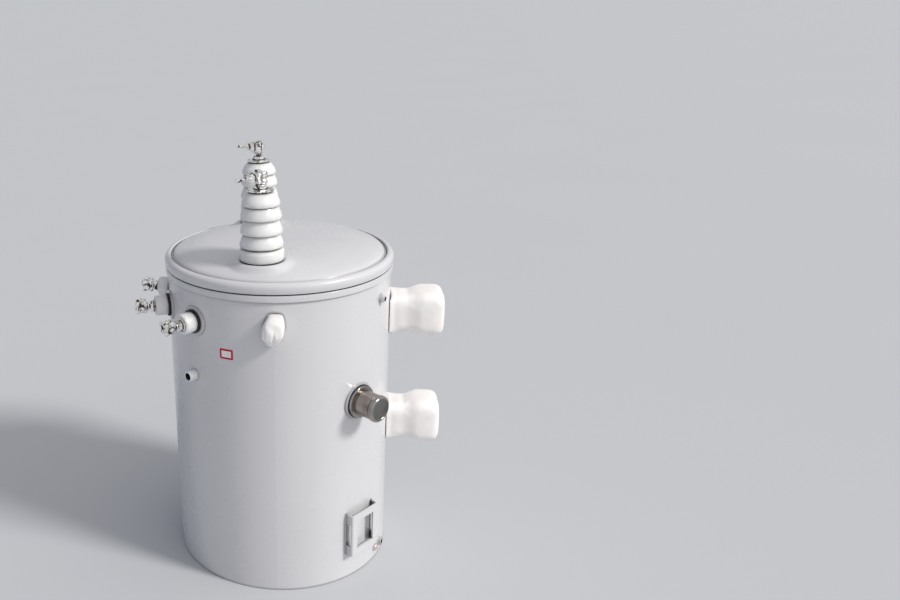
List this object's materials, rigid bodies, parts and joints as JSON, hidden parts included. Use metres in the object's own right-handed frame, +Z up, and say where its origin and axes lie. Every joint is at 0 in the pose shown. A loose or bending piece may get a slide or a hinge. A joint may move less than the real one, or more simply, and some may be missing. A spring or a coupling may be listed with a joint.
{
  "type": "pole mounted transformer",
  "caption": "Round upright transformer tank with a domed cover, porcelain bushings with clamp terminals, foam-wrapped hangers for a pole, a tap changer and a low bracket.",
  "frame": {"origin": "on the tank's axis, at the level of the floor under the tank's lower rim", "axes": "+Z up along the tank's axis, +Y towards the pole, through both pole hangers, +X through a lifting lug"},
  "size_m": [0.65, 0.7756, 1.05],
  "materials": {
    "tank_paint": "gloss light grey paint",
    "gasket_rubber": "matt black rubber",
    "porcelain": "glazed light grey porcelain",
    "terminal_metal": "tinned bronze",
    "polished_metal": "bright plated",
    "boss_metal": "bare stainless",
    "foam": "thin white packing foam"
  },
  "bodies": {
    "root": {"tank_shell": "tank_paint", "tank_bottom": "tank_paint", "tank_bead": "tank_paint", "cover_gasket": "gasket_rubber", "cover": "tank_paint", "tap_changer_seat": "tank_paint", "tap_changer_gasket": "gasket_rubber", "tap_changer_flange": "polished_metal", "tap_changer_cap": "polished_metal", "pipe_coupling": "tank_paint", "support_bracket": "tank_paint", "ground_boss": "boss_metal", "base_plug": "terminal_metal", "hv_gasket_front": "gasket_rubber", "hv_bushing_front": "porcelain", "hv_terminal_front": "terminal_metal", "lifting_lug_front": "tank_paint", "lug_wrap_front": "foam", "rim_plug_front": "tank_paint", "hv_gasket_back": "gasket_rubber", "hv_bushing_back": "porcelain", "hv_terminal_back": "terminal_metal", "lifting_lug_back": "tank_paint", "lug_wrap_back": "foam", "rim_plug_back": "tank_paint", "lv_boss_1": "tank_paint", "lv_gasket_1": "gasket_rubber", "lv_bushing_1": "porcelain", "lv_terminal_1": "terminal_metal", "lv_boss_2": "tank_paint", "lv_gasket_2": "gasket_rubber", "lv_bushing_2": "porcelain", "lv_terminal_2": "terminal_metal", "lv_boss_3": "tank_paint", "lv_gasket_3": "gasket_rubber", "lv_bushing_3": "porcelain", "lv_terminal_3": "terminal_metal", "pole_hanger_lower": "tank_paint", "hanger_wrap_lower": "foam", "pole_hanger_upper": "tank_paint", "hanger_wrap_upper": "foam"}
  },
  "joints": []
}
